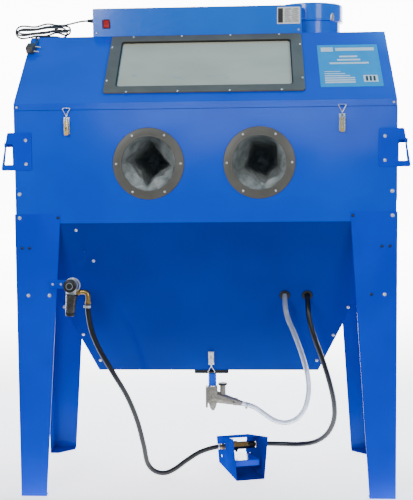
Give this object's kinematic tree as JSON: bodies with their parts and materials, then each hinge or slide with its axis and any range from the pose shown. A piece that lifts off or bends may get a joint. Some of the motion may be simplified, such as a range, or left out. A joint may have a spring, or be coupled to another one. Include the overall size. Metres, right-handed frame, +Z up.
{
  "type": "sandblast cabinet",
  "caption": "Floor-standing suction sandblast cabinet: sheet-metal body on legs, hinged hood with window, side doors, gloves, hopper, dust drum, air line and foot pedal.",
  "frame": {"origin": "centre of the cabinet's footprint box on the floor, without the mains lead and hoses", "axes": "+X to the operator's right, +Y from the operator's side to the rear, +Z up"},
  "size_m": [1.3327, 0.685, 1.643],
  "materials": {
    "blue_paint": "glossy",
    "dark_blue_paint": "glossy",
    "grey_rubber": "satin",
    "black_rubber": "satin",
    "glass": "dusty",
    "zinc": "satin",
    "brass": "satin",
    "cast_aluminium": "cast",
    "black_plastic": "matte",
    "clear_hose": "glossy",
    "red_plastic": "glossy",
    "paper_filter": "matte",
    "lamp_glass": "frosted"
  },
  "bodies": {
    "cabinet": {"front_panel": "blue_paint", "side_panel_left": "blue_paint", "side_panel_right": "blue_paint", "rear_panel": "blue_paint", "hopper_front": "dark_blue_paint", "hopper_rear": "dark_blue_paint", "hopper_left": "dark_blue_paint", "hopper_right": "dark_blue_paint", "leg_front_left": "blue_paint", "leg_front_right": "blue_paint", "leg_rear_left": "blue_paint", "leg_rear_right": "blue_paint", "work_grate": "zinc", "glove_ring_left": "grey_rubber", "glove_ring_right": "grey_rubber", "glove_left": "black_rubber", "glove_right": "black_rubber", "door_catch_left": "blue_paint", "door_catch_right": "blue_paint", "toggle_base_left": "zinc", "toggle_base_right": "zinc", "outlet_latch_base": "zinc", "filter_regulator": "zinc", "regulator_bowl": "black_plastic", "air_hose_in": "black_rubber", "air_hose_out": "black_rubber", "abrasive_hose": "clear_hose", "hose_grommet_air": "black_rubber", "hose_grommet_abrasive": "black_rubber", "pedal_housing": "blue_paint", "pedal_valve": "brass", "blast_gun": "cast_aluminium"},
    "hood": {"hood": "blue_paint", "window_frame": "grey_rubber", "window_glass": "glass", "light_box": "blue_paint", "light_tube": "lamp_glass", "dust_drum": "blue_paint", "drum_cap": "blue_paint", "filter_cartridge": "paper_filter", "cord_gland": "black_plastic", "power_cord": "black_plastic", "power_cord_hank": "black_plastic", "power_cord_tail": "black_plastic", "plug": "black_plastic"},
    "switch_rocker": {"switch_rocker": "red_plastic"},
    "side_door_left": {"side_door_left": "blue_paint"},
    "side_door_right": {"side_door_right": "blue_paint"},
    "door_latch_left": {"door_latch_left": "dark_blue_paint"},
    "door_latch_right": {"door_latch_right": "dark_blue_paint"},
    "toggle_lever_left": {"toggle_lever_left": "zinc"},
    "toggle_lever_right": {"toggle_lever_right": "zinc"},
    "toggle_bail_left": {"toggle_bail_left": "zinc"},
    "toggle_bail_right": {"toggle_bail_right": "zinc"},
    "outlet_latch_lever": {"outlet_latch_lever": "zinc"},
    "outlet_latch_bail": {"outlet_latch_bail": "zinc"},
    "outlet_door": {"outlet_door": "dark_blue_paint", "metering_valve": "cast_aluminium"},
    "regulator_knob": {"regulator_knob": "black_plastic"},
    "treadle": {"treadle": "blue_paint"}
  },
  "joints": [
    {"name": "hood_hinge", "type": "hinge", "parent": "cabinet", "child": "hood", "pos_m": [0, 0.337, 1.5115], "axis": [-1, 0, 0], "range_deg": [0, 60]},
    {"name": "switch", "type": "hinge", "parent": "hood", "child": "switch_rocker", "pos_m": [-0.3465, 0.0525, 1.5755], "axis": [-1, 0, 0], "range_deg": [0, 14]},
    {"name": "door_left_hinge", "type": "hinge", "parent": "cabinet", "child": "side_door_left", "pos_m": [-0.6165, 0.31, 0.966], "axis": [0, 0, -1], "range_deg": [0, 110]},
    {"name": "door_right_hinge", "type": "hinge", "parent": "cabinet", "child": "side_door_right", "pos_m": [0.6165, 0.31, 0.966], "axis": [0, 0, 1], "range_deg": [0, 110]},
    {"name": "latch_left_turn", "type": "hinge", "parent": "side_door_left", "child": "door_latch_left", "pos_m": [-0.6163, -0.2075, 1.158], "axis": [1, 0, 0], "range_deg": [0, 55]},
    {"name": "latch_right_turn", "type": "hinge", "parent": "side_door_right", "child": "door_latch_right", "pos_m": [0.6163, -0.2075, 1.158], "axis": [1, 0, 0], "range_deg": [0, 55]},
    {"name": "toggle_left", "type": "hinge", "parent": "cabinet", "child": "toggle_lever_left", "pos_m": [-0.438, -0.2785, 1.226], "axis": [-1, 0, 0], "range_deg": [0, 150]},
    {"name": "toggle_bail_left_pivot", "type": "hinge", "parent": "toggle_lever_left", "child": "toggle_bail_left", "pos_m": [-0.438, -0.278, 1.212], "axis": [-1, 0, 0], "range_deg": [-150, 0]},
    {"name": "toggle_right", "type": "hinge", "parent": "cabinet", "child": "toggle_lever_right", "pos_m": [0.438, -0.2785, 1.226], "axis": [-1, 0, 0], "range_deg": [0, 150]},
    {"name": "toggle_bail_right_pivot", "type": "hinge", "parent": "toggle_lever_right", "child": "toggle_bail_right", "pos_m": [0.438, -0.278, 1.212], "axis": [-1, 0, 0], "range_deg": [-150, 0]},
    {"name": "outlet_latch", "type": "hinge", "parent": "cabinet", "child": "outlet_latch_lever", "pos_m": [0.0115, -0.07177, 0.41149], "axis": [1, 0, 0], "range_deg": [0, 150]},
    {"name": "outlet_bail_pivot", "type": "hinge", "parent": "outlet_latch_lever", "child": "outlet_latch_bail", "pos_m": [0.0115, -0.07678, 0.42457], "axis": [1, 0, 0], "range_deg": [-150, 0]},
    {"name": "outlet_door_hinge", "type": "hinge", "parent": "cabinet", "child": "outlet_door", "pos_m": [0.0135, 0.0825, 0.3728], "axis": [1, 0, 0], "range_deg": [0, 60]},
    {"name": "regulator_turn", "type": "hinge", "parent": "cabinet", "child": "regulator_knob", "pos_m": [-0.428, -0.3285, 0.705], "axis": [0, 1, 0], "range_deg": [-360, 360]},
    {"name": "treadle_press", "type": "hinge", "parent": "cabinet", "child": "treadle", "pos_m": [0.09391, 0.1001, 0.04], "axis": [0.9613, 0.2756, 0], "range_deg": [0, 7], "stiffness_Nm_per_rad": 3, "springref_deg": -20.05}
  ],
  "couplings": [
    {"joint": "toggle_bail_left_pivot", "follows": "toggle_left", "ratio": -1},
    {"joint": "toggle_bail_right_pivot", "follows": "toggle_right", "ratio": -1},
    {"joint": "outlet_bail_pivot", "follows": "outlet_latch", "ratio": -1}
  ]
}
